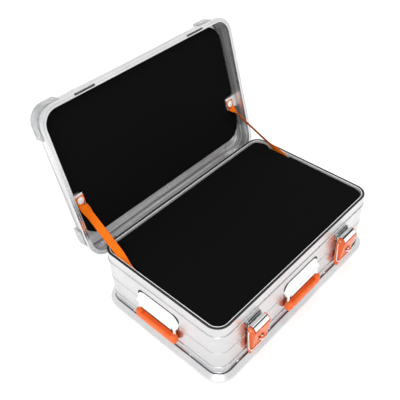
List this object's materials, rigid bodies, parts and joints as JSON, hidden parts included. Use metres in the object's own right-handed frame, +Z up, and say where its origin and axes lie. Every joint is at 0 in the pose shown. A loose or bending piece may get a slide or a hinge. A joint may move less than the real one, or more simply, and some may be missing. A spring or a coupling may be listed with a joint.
{
  "type": "carry_case",
  "caption": "Open aluminium transport case with a black foam fill, lid straps, draw latches and drop handles in orange",
  "frame": {"origin": "centre of the tub's underside", "axes": "+X along the case, to the right seen from the latches; +Y from the latches to the hinges; +Z up"},
  "size_m": [0.5906, 0.5469, 0.4944],
  "materials": {
    "aluminium": "satin",
    "aluminium_bright": "satin",
    "steel": "satin",
    "cast": "satin",
    "rubber": "matte",
    "foam": "matte",
    "orange_lever": "satin",
    "orange_grip": "satin",
    "webbing": "matte"
  },
  "bodies": {
    "base": {"base_shell": "aluminium", "base_rim": "aluminium_bright", "rim_gasket": "rubber", "base_frame": "aluminium", "base_frame_rivets": "aluminium_bright", "base_foam_bottom": "foam", "base_foam_middle": "foam", "base_foam_top": "foam", "hinge_base_leaf_left": "steel", "hinge_base_leaf_right": "steel", "hinge_pin_left": "steel", "hinge_pin_right": "steel", "hinge_base_rivets": "steel", "latch_plate_left": "steel", "latch_plate_right": "steel", "latch_plate_rivets": "steel", "latch_hood_left": "steel", "latch_hood_right": "steel", "padlock_staple_left": "steel", "padlock_staple_right": "steel", "strap_anchor_left": "steel", "strap_anchor_right": "steel", "strap_anchor_rivets": "aluminium_bright", "handle_bracket_front": "aluminium_bright", "handle_bracket_left": "aluminium_bright", "handle_bracket_right": "aluminium_bright", "handle_bracket_rivets": "steel"},
    "lid": {"lid_shell": "aluminium", "lid_flange": "aluminium_bright", "lid_foam": "foam", "stacking_corner_front_left": "cast", "stacking_corner_front_right": "cast", "stacking_corner_back_left": "cast", "stacking_corner_back_right": "cast", "stacking_corner_rivets": "aluminium_bright", "latch_keeper_left": "steel", "latch_keeper_right": "steel", "latch_keeper_rivets": "steel", "hinge_lid_leaf_left": "steel", "hinge_lid_leaf_right": "steel", "hinge_lid_rivets": "steel", "strap_bracket_left": "steel", "strap_bracket_right": "steel", "strap_screws": "steel", "lid_strap_left": "webbing", "lid_strap_right": "webbing"},
    "latch_lever_left": {"latch_lever_left": "orange_lever", "latch_lever_pin_left": "steel"},
    "latch_bail_left": {"latch_bail_left": "steel"},
    "latch_lever_right": {"latch_lever_right": "orange_lever", "latch_lever_pin_right": "steel"},
    "latch_bail_right": {"latch_bail_right": "steel"},
    "handle_front": {"handle_wire_front": "steel", "handle_grip_front": "orange_grip"},
    "handle_left": {"handle_wire_left": "steel", "handle_grip_left": "orange_grip"},
    "handle_right": {"handle_wire_right": "steel", "handle_grip_right": "orange_grip"}
  },
  "joints": [
    {"name": "lid_hinge", "type": "hinge", "parent": "base", "child": "lid", "pos_m": [0, 0.1823, 0.137], "axis": [1, 0, 0], "range_deg": [0, 104.5], "deforming": ["lid_strap_left", "lid_strap_right"]},
    {"name": "latch_lever_left_pivot", "type": "hinge", "parent": "base", "child": "latch_lever_left", "pos_m": [-0.1675, -0.1895, 0.112], "axis": [-1, 0, 0], "range_deg": [0, 115]},
    {"name": "latch_bail_left_pivot", "type": "hinge", "parent": "latch_lever_left", "child": "latch_bail_left", "pos_m": [-0.1675, -0.18684, 0.10492], "axis": [1, 0, 0], "range_deg": [-170.5, 0]},
    {"name": "latch_lever_right_pivot", "type": "hinge", "parent": "base", "child": "latch_lever_right", "pos_m": [0.1675, -0.1895, 0.112], "axis": [-1, 0, 0], "range_deg": [0, 115]},
    {"name": "latch_bail_right_pivot", "type": "hinge", "parent": "latch_lever_right", "child": "latch_bail_right", "pos_m": [0.1675, -0.18684, 0.10492], "axis": [1, 0, 0], "range_deg": [-170.5, 0]},
    {"name": "handle_front_swing", "type": "hinge", "parent": "base", "child": "handle_front", "pos_m": [0, -0.1842, 0.09], "axis": [-1, 0, 0], "range_deg": [0, 95]},
    {"name": "handle_left_swing", "type": "hinge", "parent": "base", "child": "handle_left", "pos_m": [-0.2842, 0, 0.09], "axis": [0, 1, 0], "range_deg": [0, 95]},
    {"name": "handle_right_swing", "type": "hinge", "parent": "base", "child": "handle_right", "pos_m": [0.2842, 0, 0.09], "axis": [0, -1, 0], "range_deg": [0, 95]}
  ]
}
